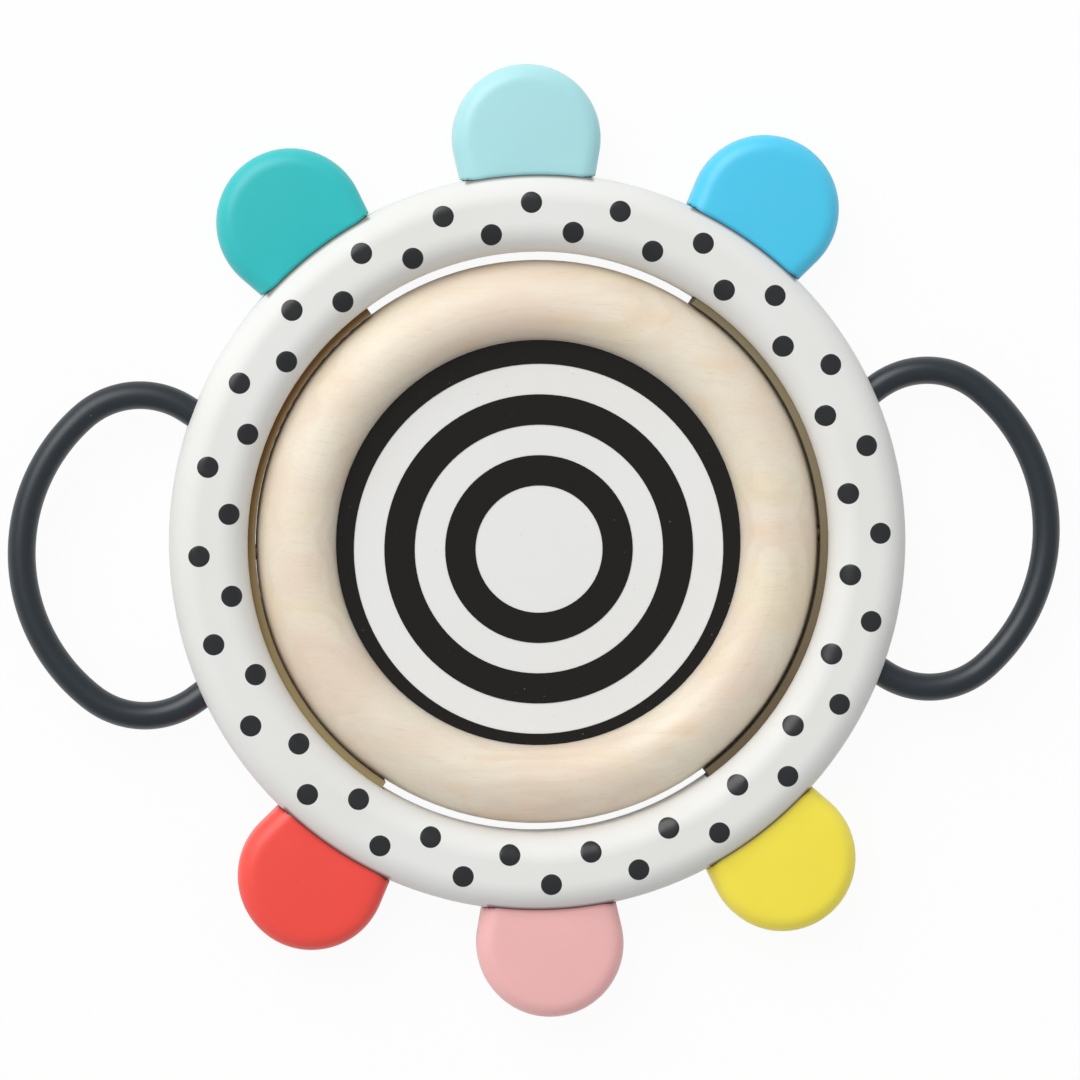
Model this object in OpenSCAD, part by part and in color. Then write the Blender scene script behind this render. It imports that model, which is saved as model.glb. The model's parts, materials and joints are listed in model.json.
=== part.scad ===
// Baby mirror teether: a dotted ring with six chew tabs and two grab loops,
// and a wooden centre that flips over between a bullseye and a mirror.
// Millimetres. The toy lies on its back: +Z is the bullseye side, +X the right loop.

/* [Ring] */
// Outer diameter of the white ring
ring_od = 125; // [115:1:140]
// Width of the ring's section, from its inner to its outer edge
ring_w = 13.2; // [12:0.2:15]
// Thickness of the ring, front to back
ring_t = 15; // [14:0.5:18]
// Corner radius of the ring's section
ring_round = 4.8; // [4.5:0.1:6.5]
// Wall of the two hollow ring shells
ring_wall = 2; // [1.6:0.1:2.4]
// Depth of the fine groove along the seam of the two shells
seam_groove = 0.25; // [0.1:0.05:0.4]

/* [Dots] */
// Dots in each of the two rows
dot_count = 24; // [12:1:30]
// Diameter of a dot
dot_d = 3.6; // [2:0.1:4.4]
// Distance between the two rows of dots
dot_rows_apart = 4.8; // [4:0.1:5.6]
// How far the rows lie inside the middle of the ring's section
dot_rows_in = 0.7; // [0:0.1:1]
// Depth of a dot in the shell
dot_depth = 0.3; // [0.2:0.05:0.6]

/* [Flip gap] */
// Open gap between the ring and the wooden centre
turn_gap = 1.4; // [1:0.1:2.4]
// Gap left between the side ledges and the wooden centre
ledge_gap = 0.2; // [0.15:0.05:0.7]
// How far the side ledges that carry the pivots reach from the mid plane, to the front
ledge_front = 2.6; // [1.8:0.1:4]
// The same, to the back
ledge_back = 5; // [1.8:0.1:5.5]
// Half angle of the open slots at the top and the bottom
slot_half = 34.5; // [20:0.5:45]

/* [Pivots] */
// Diameter of a pivot pin
pin_d = 2.6; // [2:0.1:3.2]
// Running clearance round a pin, on the radius
pin_play = 0.05; // [0.02:0.01:0.1]
// How deep a pin reaches into the ring, from its inner edge
pin_reach = 6.7; // [5:0.1:7.5]
// Wood left between a pin's end and the disc groove
pin_stop = 1.5; // [0.8:0.1:3]
// Plastic round a pin in its boss
boss_wall = 2.2; // [1.5:0.1:3]

/* [Wooden ring] */
// Width of the wooden ring's section
wood_w = 13.6; // [12:0.2:16]
// How far the wood lies below the ring's face, front and back
wood_drop = 0.7; // [0.4:0.1:2]
// Corner radius of the wooden ring's section beside the disc
wood_lip = 5.8; // [4:0.1:6.6]
// How much more than half the wood's thickness the radius of its outer side is
wood_crown = 0.9; // [0.3:0.1:1.5]

/* [Centre discs] */
// Thickness of the bullseye disc, and of the mirror
disc_t = 2; // [1.5:0.1:3]
// How far a disc reaches under the wooden lip
disc_lap = 2.5; // [1.5:0.1:4]
// Play round the edge of a disc
disc_play = 0.2; // [0.1:0.05:0.4]
// Radius of the pale middle of the bullseye
eye_r = 10.8; // [6:0.1:12]
// Width of the dark band at the edge of the disc, partly under the wooden lip
edge_band_w = 5.4; // [4.5:0.1:7]
// How far the print sits below the middle of the disc
print_low = 1.05; // [0:0.05:1.5]
// Thickness of the printed bands
print_t = 0.1; // [0.05:0.01:0.2]

/* [Tabs] */
// Radius of a tab's round end
tab_r = 12.55; // [9:0.05:14]
// How far a tab stands out from the ring
tab_out = 18.5; // [15:0.25:24]
// Thickness of a tab
tab_t = 9.5; // [7:0.5:10]
// Radius of a tab's round edge
tab_round = 3; // [2:0.1:3.5]
// Lean of a tab's sides towards the ring, in degrees
tab_lean = 11.5; // [4:0.5:16]
// Angle between neighbouring tabs
tab_step = 36; // [30:0.5:40]
// Fine seam between a tab and the ring
tab_seam = 0.25; // [0.1:0.05:0.4]
// Width of a tab's neck inside the ring
neck_w = 14; // [8:0.5:16]
// Thickness of a tab's neck
neck_t = 5; // [3:0.5:5.5]
// Play between a neck and its window
neck_play = 0.15; // [0.05:0.05:0.3]
// Diameter of the posts that hold the tabs and join the shells
post_d = 4; // [3:0.1:4.6]
// Play between a post and the tab's eye
post_play = 0.1; // [0.05:0.05:0.3]
// Width of the neck behind the eye
eye_land = 0.8; // [0.6:0.1:1.4]
// Wall of a post's socket
socket_wall = 1.5; // [1:0.1:2]
// How deep a post enters its socket
post_grip = 1.4; // [1:0.1:1.8]

/* [Loops] */
// Thickness of a grab loop
loop_d = 4.7; // [3.6:0.1:5.4]
// How far a loop stands out from the ring
loop_out = 27.15; // [22:0.05:32]
// Radius of a loop's far side, at its middle line
loop_far_r = 31; // [26:0.5:36]
// Radius of a loop's corners, at its middle line
loop_corner_r = 14.4; // [12:0.1:17]
// Angle at which the far side turns into the corners
loop_turn = 50; // [42:0.5:58]
// Length of the bending root between the ring and the loop
root_len = 5; // [3:0.1:7]
// Straight stretch of a root outside the ring
root_stand = 1.2; // [0.6:0.1:2]
// Diameter of the bead that holds a root inside the ring
bead_d = 6.4; // [5.8:0.1:7]
// Play round a root in the ring's wall
root_play = 0.1; // [0.05:0.05:0.3]

/* [Hidden] */
$fn = 96;

// Overlap where two shapes of one piece are joined, and overshoot of a cut
join = 0.5;
over = 1;
// Flat left between two round corners of a section, as half its width
least_land = 0.1;

// How finely the tabs' and loops' soft shapes are drawn
end_points = 28;
foot_points = 6;
edge_points = 11;
loop_sides = 16;
far_rings = 20;
corner_rings = 6;
root_rings = 3;
bead_rings = 8;

shell_white = [0.93, 0.93, 0.92];
ink_grey = [0.17, 0.18, 0.20];
teal = [0.23, 0.75, 0.77];
aqua = [0.68, 0.88, 0.89];
blue = [0.33, 0.78, 0.93];
yellow = [0.95, 0.88, 0.31];
pink = [0.93, 0.71, 0.71];
red = [0.94, 0.34, 0.31];
loop_black = [0.18, 0.20, 0.22];
wood_pale = [0.92, 0.87, 0.78];
print_white = [0.91, 0.91, 0.91];
print_black = [0.09, 0.09, 0.10];
mirror_silver = [0.80, 0.83, 0.85];
pin_steel = [0.65, 0.66, 0.68];

// Ring
mid = ring_t / 2;
ring_r = ring_od / 2;
ring_mid_r = ring_r - ring_w / 2;
ring_in_r = ring_r - ring_w;
ring_fillet = min(ring_round, ring_w / 2 - least_land, ring_t / 2 - least_land);
room_top = ring_t / 2 - ring_wall;

// Wooden centre
wood_r = ring_in_r - turn_gap;
wood_in_r = wood_r - wood_w;
wood_t = ring_t - 2 * wood_drop;
crown_r = wood_t / 2 + wood_crown;
crest_r = wood_r - sqrt(crown_r ^ 2 - wood_crown ^ 2);
lip_r = min(wood_lip, crest_r - wood_in_r - least_land, wood_t / 2 - least_land);
ledge_in_r = wood_r + ledge_gap;
disc_r = wood_in_r + disc_lap;
groove_r = disc_r + disc_play;
// Two dark and two pale bands share the room between the pale middle and the edge band
band_w = (disc_r - edge_band_w - eye_r) / 4;

// Pivots
pin_r = pin_d / 2;
pin_in = groove_r + pin_stop;
pin_end = ring_in_r + pin_reach;
pin_tip = 0.4;
pin_end_play = 0.3;

// Tabs
tab_mid = ring_r + tab_out - tab_r;
tab_core = tab_r - tab_round;
tab_foot_r = ring_r + tab_seam;
post_r = post_d / 2;
socket_r = post_r + socket_wall;
socket_play = 0.03;
neck_in = ring_mid_r - post_r - post_play - eye_land;
window_half = neck_t / 2 + neck_play;

// Loops: the far side is an arc about far_x on the X axis, each corner an arc about corner_mid
loop_r = loop_d / 2;
far_x = ring_r + loop_out - loop_r - loop_far_r;
corner_mid = [far_x + (loop_far_r - loop_corner_r) * cos(loop_turn),
    (loop_far_r - loop_corner_r) * sin(loop_turn)];
stand_r = ring_r + root_stand;
// Corner angle where the middle line comes within root_stand of the ring
exit_angle = 180 + atan2(corner_mid[1], corner_mid[0]) - acos(
    (norm(corner_mid) ^ 2 + loop_corner_r ^ 2 - stand_r ^ 2)
    / (2 * norm(corner_mid) * loop_corner_r));
root_angle = exit_angle - root_len / loop_corner_r * 180 / PI;
exit_point = corner_mid + loop_corner_r * [cos(exit_angle), sin(exit_angle)];
inward = [-sin(exit_angle), cos(exit_angle)];
// Straight run from the exit point to the bead, which sits against the outer wall
bead_r = bead_d / 2;
bead_play = 0.1;
bead_at = ring_r - ring_wall - bead_r - bead_play;
run_in = -exit_point * inward
    - sqrt((exit_point * inward) ^ 2 - exit_point * exit_point + bead_at ^ 2);

// Evenly spaced values from one number to another
function steps(from, to, count) = [for (k = [0 : count]) from + (to - from) * k / count];

// A rectangle with round corners
module rounded(w, h, r) {
    square([w - 2 * r, h], center = true);
    square([w, h - 2 * r], center = true);
    for (x = [-1, 1], y = [-1, 1])
        translate([x * (w / 2 - r), y * (h / 2 - r)])
            circle(r);
}

// The ring's section, grown by a distance or shrunk by a negative one
module ring_section(grow = 0) {
    translate([ring_mid_r, 0])
        rounded(ring_w + 2 * grow, ring_t + 2 * grow, ring_fillet + grow);
}

// The part of a section above the mid plane
module upper_half() {
    intersection() {
        children();
        square([2 * ring_r, ring_t]);
    }
}

module at_tabs() {
    for (side = [90, -90], k = [-1, 0, 1])
        rotate(side + k * tab_step)
            children();
}

module at_dots() {
    rows = [[ring_mid_r - dot_rows_in + dot_rows_apart / 2, 0],
        [ring_mid_r - dot_rows_in - dot_rows_apart / 2, 180 / dot_count]];
    for (row = rows, k = [0 : dot_count - 1])
        rotate(row[1] + k * 360 / dot_count)
            translate([row[0], 0])
                children();
}

// The dots of one face: round patches of the ring's own skin
module dot_patches() {
    intersection() {
        rotate_extrude()
            upper_half()
                difference() {
                    ring_section();
                    ring_section(-dot_depth);
                }
        at_dots()
            cylinder(d = dot_d, h = ring_t);
    }
}

// Side ledges above the mid plane, up to a height, that narrow the flip gap and carry the pivots.
// Their inner faces are round about the middle of the toy, so the wood turns close past them.
module side_ledges(h) {
    span = 180 - 2 * slot_half;
    for (side = [0, 180])
        rotate(side - span / 2)
            rotate_extrude(angle = span)
                difference() {
                    translate([wood_r - over, 0])
                        square([ring_in_r + ring_wall / 2 - wood_r + over, h]);
                    circle(ledge_in_r);
                }
}

// Upper half of the block inside the ring that a pivot pin turns in
module pivot_bosses() {
    boss_w = pin_d + 2 * boss_wall;
    intersection() {
        for (side = [0, 180])
            rotate(side)
                translate([ring_in_r, -boss_w / 2, 0])
                    cube([pin_reach + pin_end_play + boss_wall, boss_w, mid]);
        rotate_extrude()
            upper_half()
                ring_section(join - ring_wall);
    }
}

module pivot_bores() {
    for (side = [0, 180])
        rotate(side)
            translate([ledge_in_r - over, 0, 0])
                rotate([0, 90, 0])
                    cylinder(r = pin_r + pin_play, h = pin_end + pin_end_play - ledge_in_r + over);
}

// Windows in the outer wall for the necks of the tabs
module neck_windows() {
    at_tabs()
        translate([ring_r - ring_wall - over, -neck_w / 2 - neck_play, -over])
            cube([ring_wall + 2 * over, neck_w + 2 * neck_play, window_half + over]);
}

// Holes in the outer wall for the roots of the loops
module root_holes() {
    for (side = [0, 180], y = [0, 1])
        rotate(side)
            mirror([0, y, 0])
                along_root(-root_stand)
                    cylinder(r = loop_r + root_play, h = run_in + root_stand);
}

// Puts a shape that stands on Z onto the straight part of a root, a distance in from the exit point
module along_root(from) {
    start = exit_point + from * inward;
    translate([start[0], start[1], 0])
        rotate([0, 0, atan2(inward[1], inward[0])])
            rotate([0, 90, 0])
                children();
}

// Half a ring shell above the mid plane, with the cuts that both shells share
module ring_half(ledge_h) {
    difference() {
        union() {
            rotate_extrude()
                upper_half()
                    difference() {
                        ring_section();
                        ring_section(-ring_wall);
                    }
            side_ledges(ledge_h);
            pivot_bosses();
            children();
        }
        pivot_bores();
        neck_windows();
        root_holes();
        dot_patches();
        rotate_extrude()
            polygon([[ring_r - seam_groove, 0], [ring_r + over, 0], [ring_r + over, seam_groove],
                [ring_r, seam_groove]]);
    }
}

module posts() {
    reach = window_half + post_grip;
    at_tabs()
        translate([ring_mid_r, 0, -reach])
            cylinder(r = post_r, h = reach + room_top + join);
}

module sockets() {
    at_tabs()
        translate([ring_mid_r, 0, window_half])
            difference() {
                cylinder(r = socket_r, h = room_top + join - window_half);
                translate([0, 0, -over])
                    cylinder(r = post_r + socket_play, h = over + post_grip + socket_play);
            }
}

module front_ring_shell() {
    color(shell_white)
        translate([0, 0, mid])
            ring_half(ledge_front)
                posts();
}

module rear_ring_shell() {
    color(shell_white)
        translate([0, 0, mid])
            mirror([0, 0, 1])
                ring_half(ledge_back)
                    sockets();
}

module front_dots() {
    color(ink_grey)
        translate([0, 0, mid])
            dot_patches();
}

module rear_dots() {
    color(ink_grey)
        translate([0, 0, mid])
            mirror([0, 0, 1])
                dot_patches();
}

// A closed skin through rings of equally many points, capped at both ends round a middle point
module skin(rings, first_mid, last_mid) {
    n = len(rings[0]);
    m = len(rings);
    points = concat([for (ring = rings) each ring], [first_mid, last_mid]);
    sides = [for (j = [0 : m - 2], i = [0 : n - 1])
        let (k = (i + 1) % n, low = j * n, high = low + n)
            each [[low + i, high + k, low + k], [low + i, high + i, high + k]]];
    first_cap = [for (i = [0 : n - 1]) [m * n, i, (i + 1) % n]];
    last_cap = [for (i = [0 : n - 1]) [m * n + 1, (m - 1) * n + (i + 1) % n, (m - 1) * n + i]];
    polyhedron(points, concat(sides, first_cap, last_cap));
}

// How far out the ring's edge lies at a height from its mid plane
function ring_edge(h) = ring_r - ring_fillet
    + sqrt(ring_fillet ^ 2 - max(0, abs(h) - ring_t / 2 + ring_fillet) ^ 2);

// A tab's outline at a height on its round edge, given as the angle up from its side
function tab_ring(rise) = let (
    h = sign(rise) * (tab_t / 2 - tab_round) + tab_round * sin(rise),
    edge = tab_round * cos(rise),
    end_r = tab_core + edge,
    foot_r = ring_edge(h) + tab_seam,
    run = (tab_mid - tab_core * sin(tab_lean) - foot_r) / cos(tab_lean),
    foot_v = tab_core * cos(tab_lean) - run * sin(tab_lean),
    side_v = foot_v + edge * cos(tab_lean),
    round_end = [for (a = steps(-90 - tab_lean, 90 + tab_lean, end_points))
        [tab_mid + end_r * cos(a), end_r * sin(a)]],
    foot = [for (v = concat(side_v, steps(foot_v, -foot_v, foot_points), -side_v))
        [sqrt(foot_r ^ 2 - v ^ 2), v]])
    [for (p = concat(round_end, foot)) [p[0], p[1], h]];

// A tab on the +X axis: a round-edged pad outside the ring, a neck and an eye inside it
module tab() {
    skin([for (rise = steps(-90, 90, edge_points)) tab_ring(rise)],
        [tab_mid, 0, -tab_t / 2], [tab_mid, 0, tab_t / 2]);
    difference() {
        translate([neck_in, -neck_w / 2, -neck_t / 2])
            cube([tab_foot_r + join - neck_in, neck_w, neck_t]);
        translate([ring_mid_r, 0, 0])
            cylinder(r = post_r + post_play, h = tab_t, center = true);
    }
}

module place_tab(angle) {
    translate([0, 0, mid])
        rotate(angle)
            tab();
}

module teal_tab() {
    color(teal)
        place_tab(90 + tab_step);
}

module aqua_tab() {
    color(aqua)
        place_tab(90);
}

module blue_tab() {
    color(blue)
        place_tab(90 - tab_step);
}

module yellow_tab() {
    color(yellow)
        place_tab(-90 + tab_step);
}

module pink_tab() {
    color(pink)
        place_tab(-90);
}

module red_tab() {
    color(red)
        place_tab(-90 - tab_step);
}

// A round section of the loop, at a point of its middle line, in the plane of a bend's angle
function loop_ring(point, angle, r = loop_r) = [for (k = [0 : loop_sides - 1])
    let (b = 360 * k / loop_sides, out = r * cos(b))
        [point[0] + out * cos(angle), point[1] + out * sin(angle), r * sin(b)]];

function on_corner(angle) = corner_mid + loop_corner_r * [cos(angle), sin(angle)];
function on_far_side(angle) = [far_x + loop_far_r * cos(angle), loop_far_r * sin(angle)];
function turned_over(point) = [point[0], -point[1]];

// The free part of the right loop, from its upper to its lower root
module loop() {
    corner = steps(root_angle, loop_turn, corner_rings);
    far = steps(loop_turn, -loop_turn, far_rings);
    back = [for (k = [corner_rings : -1 : 0]) corner[k]];
    first = on_corner(root_angle);
    last = turned_over(first);
    skin(concat([for (a = corner) loop_ring(on_corner(a), a)],
            [for (k = [1 : far_rings - 1]) loop_ring(on_far_side(far[k]), far[k])],
            [for (a = back) loop_ring(turned_over(on_corner(a)), -a)]),
        [first[0], first[1], 0], [last[0], last[1], 0]);
}

// The right loop's two roots: a bead, a straight run through the wall and a bending stretch
module loop_roots() {
    bead = exit_point + run_in * inward;
    swell = steps(-90, acos(loop_r / bead_r), bead_rings);
    bend = steps(exit_angle, root_angle, root_rings);
    pole = bead + bead_r * inward;
    last = on_corner(root_angle);
    for (y = [0, 1])
        mirror([0, y, 0])
            skin(concat([for (k = [1 : bead_rings])
                        loop_ring(bead - bead_r * sin(swell[k]) * inward, exit_angle,
                            bead_r * cos(swell[k]))],
                    [for (a = bend) loop_ring(on_corner(a), a)]),
                [pole[0], pole[1], 0], [last[0], last[1], 0]);
}

module left_loop() {
    color(loop_black)
        translate([0, 0, mid])
            rotate(180)
                loop();
}

module right_loop() {
    color(loop_black)
        translate([0, 0, mid])
            loop();
}

module left_loop_roots() {
    color(loop_black)
        translate([0, 0, mid])
            rotate(180)
                loop_roots();
}

module right_loop_roots() {
    color(loop_black)
        translate([0, 0, mid])
            loop_roots();
}

// The wooden ring's section: a corner beside the disc and a wider round outer side
module wood_section() {
    translate([wood_in_r, 0]) {
        square([crest_r - wood_in_r, wood_t / 2 - lip_r]);
        translate([lip_r, 0])
            square([crest_r - wood_in_r - lip_r, wood_t / 2]);
        translate([lip_r, wood_t / 2 - lip_r])
            circle(lip_r);
    }
    translate([crest_r, 0])
        intersection() {
            translate([0, -wood_crown])
                circle(crown_r);
            square([crown_r, wood_t]);
        }
}

// Half of the wooden ring above the mid plane, with the disc seat and the grooves for the pins
module wood_half() {
    difference() {
        rotate_extrude()
            difference() {
                upper_half()
                    wood_section();
                square([groove_r, disc_t]);
            }
        for (side = [0, 180])
            rotate(side)
                translate([pin_in, 0, 0])
                    rotate([0, 90, 0])
                        cylinder(r = pin_r, h = wood_w);
    }
}

module front_wood_ring() {
    color(wood_pale)
        translate([0, 0, mid])
            wood_half();
}

module rear_wood_ring() {
    color(wood_pale)
        translate([0, 0, mid])
            mirror([0, 0, 1])
                wood_half();
}

module bullseye_disc() {
    color(print_white)
        translate([0, 0, mid])
            cylinder(r = disc_r, h = disc_t - print_t);
}

module band(inner, outer) {
    difference() {
        cylinder(r = outer, h = print_t);
        translate([0, 0, -over])
            cylinder(r = inner, h = print_t + 2 * over);
    }
}

module bullseye_bands() {
    color(print_black)
        translate([0, 0, mid + disc_t - print_t]) {
            translate([0, -print_low, 0]) {
                band(eye_r, eye_r + band_w);
                band(eye_r + 2 * band_w, eye_r + 3 * band_w);
            }
            difference() {
                cylinder(r = disc_r, h = print_t);
                translate([0, -print_low, -over])
                    cylinder(r = eye_r + 4 * band_w, h = print_t + 2 * over);
            }
        }
}

module mirror_disc() {
    color(mirror_silver)
        translate([0, 0, mid - disc_t])
            cylinder(r = disc_r, h = disc_t);
}

// A pin with bevelled ends along +X
module pivot_pin() {
    translate([pin_in, 0, mid])
        rotate([0, 90, 0]) {
            cylinder(r1 = pin_r - pin_tip, r2 = pin_r, h = pin_tip);
            translate([0, 0, pin_tip])
                cylinder(r = pin_r, h = pin_end - pin_in - 2 * pin_tip);
            translate([0, 0, pin_end - pin_in - pin_tip])
                cylinder(r1 = pin_r, r2 = pin_r - pin_tip, h = pin_tip);
        }
}

module left_pivot_pin() {
    color(pin_steel)
        rotate(180)
            pivot_pin();
}

module right_pivot_pin() {
    color(pin_steel)
        pivot_pin();
}

front_ring_shell();
rear_ring_shell();
front_dots();
rear_dots();
teal_tab();
aqua_tab();
blue_tab();
yellow_tab();
pink_tab();
red_tab();
left_loop();
right_loop();
left_loop_roots();
right_loop_roots();
front_wood_ring();
rear_wood_ring();
bullseye_disc();
bullseye_bands();
mirror_disc();
left_pivot_pin();
right_pivot_pin();
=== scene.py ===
import json
import math

import bmesh
import bpy
from mathutils import Matrix, Vector

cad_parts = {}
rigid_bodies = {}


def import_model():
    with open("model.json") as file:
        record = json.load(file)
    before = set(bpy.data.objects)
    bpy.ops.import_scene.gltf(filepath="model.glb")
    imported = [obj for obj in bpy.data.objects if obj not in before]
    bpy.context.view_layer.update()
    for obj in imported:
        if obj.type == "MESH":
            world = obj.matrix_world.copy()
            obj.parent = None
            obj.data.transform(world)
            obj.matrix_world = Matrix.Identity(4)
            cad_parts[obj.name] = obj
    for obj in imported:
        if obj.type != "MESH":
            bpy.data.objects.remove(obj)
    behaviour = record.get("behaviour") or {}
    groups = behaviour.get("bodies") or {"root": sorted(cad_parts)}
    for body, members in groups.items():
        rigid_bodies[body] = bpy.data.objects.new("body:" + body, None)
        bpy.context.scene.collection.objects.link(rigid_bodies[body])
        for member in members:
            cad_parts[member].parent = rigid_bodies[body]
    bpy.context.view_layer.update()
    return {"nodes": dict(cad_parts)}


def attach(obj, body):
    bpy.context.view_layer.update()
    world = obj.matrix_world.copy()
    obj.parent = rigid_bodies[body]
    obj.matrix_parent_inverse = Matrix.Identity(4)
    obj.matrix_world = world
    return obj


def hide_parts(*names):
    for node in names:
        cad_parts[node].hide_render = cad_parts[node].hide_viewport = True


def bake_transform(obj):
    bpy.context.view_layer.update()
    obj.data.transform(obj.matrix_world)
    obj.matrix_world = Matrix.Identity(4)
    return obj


for leftOver in list(bpy.data.objects):
    bpy.data.objects.remove(leftOver)
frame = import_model()
nodes = frame["nodes"]
mm = 0.001
weld = {"reach": 0.001, "leastEdge": 0.0005}  # how near points are merged, in millimetres
print("frame:", len(nodes), "solids loaded")


# Small helpers for node trees

def feed(tree, socket, value):
    if isinstance(value, Wire):
        value = value.socket
    if isinstance(value, bpy.types.NodeSocket):
        tree.links.new(value, socket)
    else:
        socket.default_value = value


def addNode(tree, kind, inputs=None, **settings):
    node = tree.nodes.new(kind)
    for key, value in settings.items():
        setattr(node, key, value)
    for key, value in (inputs or {}).items():
        feed(tree, node.inputs[key], value)
    return node


class Wire:  # one value in a tree, so that a sum in nodes reads as a sum
    def __init__(self, tree, socket):
        self.tree = tree
        self.socket = socket

    def calc(self, operation, *terms):
        node = addNode(self.tree, "ShaderNodeMath", operation=operation)
        for socket, term in zip(node.inputs, (self,) + terms):
            feed(self.tree, socket, term)
        return Wire(self.tree, node.outputs[0])

    def __add__(self, other):
        return self.calc("ADD", other)

    def __sub__(self, other):
        return self.calc("SUBTRACT", other)

    def __rsub__(self, other):
        return self.calc("MULTIPLY_ADD", -1.0, other)

    def __mul__(self, other):
        return self.calc("MULTIPLY", other)

    def __truediv__(self, other):
        return self.calc("DIVIDE", other)

    def __pow__(self, other):
        return self.calc("POWER", other)

    __radd__ = __add__
    __rmul__ = __mul__

    def least(self, other):
        return self.calc("MINIMUM", other)

    def most(self, other):
        return self.calc("MAXIMUM", other)

    def over(self, other):
        return self.calc("GREATER_THAN", other)

    def ramp(self, low, high, fromValue=0.0, toValue=1.0):
        node = addNode(self.tree, "ShaderNodeMapRange", interpolation_type="SMOOTHSTEP", inputs={
            "Value": self, "From Min": low, "From Max": high, "To Min": fromValue, "To Max": toValue})
        return Wire(self.tree, node.outputs["Result"])

    def held(self, low=0.0, high=1.0):
        return self.most(low).least(high)


def splitXyz(tree, vector):
    parts = addNode(tree, "ShaderNodeSeparateXYZ", {"Vector": vector})
    return [Wire(tree, s) for s in parts.outputs]


def joinXyz(tree, x=0.0, y=0.0, z=0.0):
    return addNode(tree, "ShaderNodeCombineXYZ", {"X": x, "Y": y, "Z": z}).outputs[0]


def noiseAt(tree, vector, scale, detail=2.0, roughness=0.5):
    node = addNode(tree, "ShaderNodeTexNoise",
        {"Vector": vector, "Scale": scale, "Detail": detail, "Roughness": roughness})
    return Wire(tree, node.outputs["Fac"])


def positionXyz(tree):
    return splitXyz(tree, addNode(tree, "GeometryNodeInputPosition").outputs[0])


def openGroup(name, kind, given, puts):
    tree = bpy.data.node_groups.new(name, kind)
    for label, default in given.items():
        kindOf = {bool: "Bool", int: "Int", float: "Float", str: default}[type(default)]
        socket = tree.interface.new_socket(name=label, in_out="INPUT", socket_type="NodeSocket" + kindOf)
        if not isinstance(default, str):
            socket.default_value = default
    for label, kindOf in puts.items():
        tree.interface.new_socket(name=label, in_out="OUTPUT", socket_type="NodeSocket" + kindOf)
    entry = tree.nodes.new("NodeGroupInput")
    leave = tree.nodes.new("NodeGroupOutput")
    return tree, {s.name: Wire(tree, s) for s in entry.outputs if s.name}, leave.inputs


def treeSizes(sizes):  # tree inputs from sizes in millimetres: dotRadius gives Dot radius, in metres
    given = {}
    for key, value in sizes.items():
        words = "".join(" " + c.lower() if c.isupper() else c for c in key)
        given[words[0].upper() + words[1:]] = value if isinstance(value, int) else value * mm
    return given


def meshFromTree(name, tree, values, seedMesh=None):
    holder = bpy.data.objects.new(name + "Holder", seedMesh or bpy.data.meshes.new(name + "Seed"))
    bpy.context.scene.collection.objects.link(holder)
    modifier = holder.modifiers.new(name, "NODES")
    modifier.node_group = tree
    for item in tree.interface.items_tree:
        if item.item_type == "SOCKET" and item.in_out == "INPUT" and item.name in values:
            modifier[item.identifier] = values[item.name]
    graph = bpy.context.evaluated_depsgraph_get()
    mesh = bpy.data.meshes.new_from_object(
        holder.evaluated_get(graph), preserve_all_data_layers=True, depsgraph=graph)
    bpy.data.objects.remove(holder)
    mesh.name = name
    piece = bpy.data.objects.new(name, mesh)
    bpy.context.scene.collection.objects.link(piece)
    return piece


def closeSkin(piece, sharpAngle):
    work = bmesh.new()
    work.from_mesh(piece.data)
    bmesh.ops.remove_doubles(work, verts=work.verts, dist=weld["reach"] * mm)
    bmesh.ops.dissolve_degenerate(work, edges=work.edges, dist=weld["leastEdge"] * mm)
    bmesh.ops.recalc_face_normals(work, faces=work.faces)
    work.to_mesh(piece.data)
    work.free()
    piece.data.shade_smooth()
    piece.data.set_sharp_from_angle(angle=math.radians(sharpAngle))


# Shared surface effects

def buildMouldedSkin():  # slow waviness and fine grit of a moulded surface, in millimetres
    tree, given, leave = openGroup("mouldedSkin", "ShaderNodeTree",
        {"Vector": "Vector", "Wave": 0.12, "Grit": 3.0, "Grit share": 0.5},
        {"Height": "Float", "Drift": "Float"})
    fine = 3.0  # detail of the noise
    slowShare = 0.45  # the drift is slower than the waves
    driftLimits = (0.3, 0.7)
    share = given["Grit share"]
    wave = noiseAt(tree, given["Vector"], given["Wave"])
    grit = noiseAt(tree, given["Vector"], given["Grit"], fine)
    feed(tree, leave["Height"], wave * (1.0 - share) + grit * share)
    slow = noiseAt(tree, given["Vector"], given["Wave"] * slowShare, fine)
    feed(tree, leave["Drift"], slow.ramp(*driftLimits))
    return tree


def buildDustSpecks():  # a few tiny specks, each in a cell of its own
    tree, given, leave = openGroup("dustSpecks", "ShaderNodeTree",
        {"Vector": "Vector", "Spacing": 2.0, "Speck": 0.12, "Share": 0.3}, {"Mask": "Float"})
    sizeSpread, leastSize = 0.8, 0.4
    hardShare = 0.55  # of a speck, before its edge fades
    cells = addNode(tree, "ShaderNodeTexVoronoi",
        {"Vector": given["Vector"], "Scale": given["Spacing"] ** -1.0})
    away = Wire(tree, cells.outputs["Distance"]) * given["Spacing"]
    pick = splitXyz(tree, cells.outputs["Color"])
    size = given["Speck"] * (pick[1] * sizeSpread + leastSize)
    spot = 1.0 - away.ramp(size * hardShare, size)
    feed(tree, leave["Mask"], spot * (1.0 - pick[0].over(given["Share"])))
    return tree


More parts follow.
